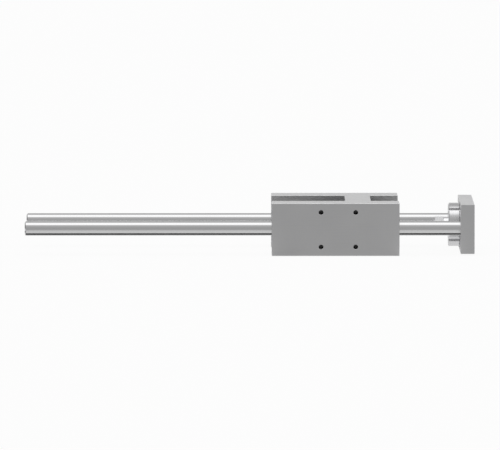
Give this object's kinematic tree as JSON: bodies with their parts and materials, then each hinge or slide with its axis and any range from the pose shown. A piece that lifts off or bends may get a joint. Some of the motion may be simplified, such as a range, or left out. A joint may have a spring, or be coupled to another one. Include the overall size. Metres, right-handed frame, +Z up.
{
  "type": "linear guide unit",
  "caption": "H-shaped guide unit for a rod cylinder: round rods slide through the housing and carry a yoke plate with a rod coupling.",
  "frame": {"origin": "on the unit's axis, in the web face that the cylinder's front cap seats on", "axes": "+X along the rods towards the yoke, +Y across the rods, +Z up"},
  "size_m": [0.4934, 0.115, 0.058],
  "materials": {
    "housing": "fine milled and anodised, satin",
    "yoke": "fine milled, satin",
    "rod": "hardened and ground, polished",
    "bush": "sintered bronze",
    "wiper": "black nitrile rubber",
    "spring_steel": "blackened spring steel",
    "coupling": "turned steel, zinc plated",
    "washer": "bronze, smooth",
    "screw": "zinc plated steel"
  },
  "bodies": {
    "housing": {"housing": "housing", "bush_rear_near": "bush", "bush_front_near": "bush", "bush_rear_far": "bush", "bush_front_far": "bush", "wiper_rear_near": "wiper", "wiper_front_near": "wiper", "wiper_rear_far": "wiper", "wiper_front_far": "wiper", "retaining_ring_rear_near": "spring_steel", "retaining_ring_front_near": "spring_steel", "retaining_ring_rear_far": "spring_steel", "retaining_ring_front_far": "spring_steel"},
    "carriage": {"guide_rod_near": "rod", "guide_rod_far": "rod", "yoke_plate": "yoke", "coupling_ring": "coupling", "thrust_washer_rear": "washer", "thrust_washer_front": "washer", "rod_screw_near": "screw", "rod_screw_far": "screw"},
    "stud": {"coupling_stud": "coupling"}
  },
  "joints": [
    {"name": "carriage_slide", "type": "slide", "parent": "housing", "child": "carriage", "axis": [1, 0, 0], "range_m": [-0.064, 0.256]},
    {"name": "stud_turn", "type": "hinge", "parent": "carriage", "child": "stud", "pos_m": [0.105, 0, 0], "axis": [1, 0, 0], "continuous": true}
  ]
}
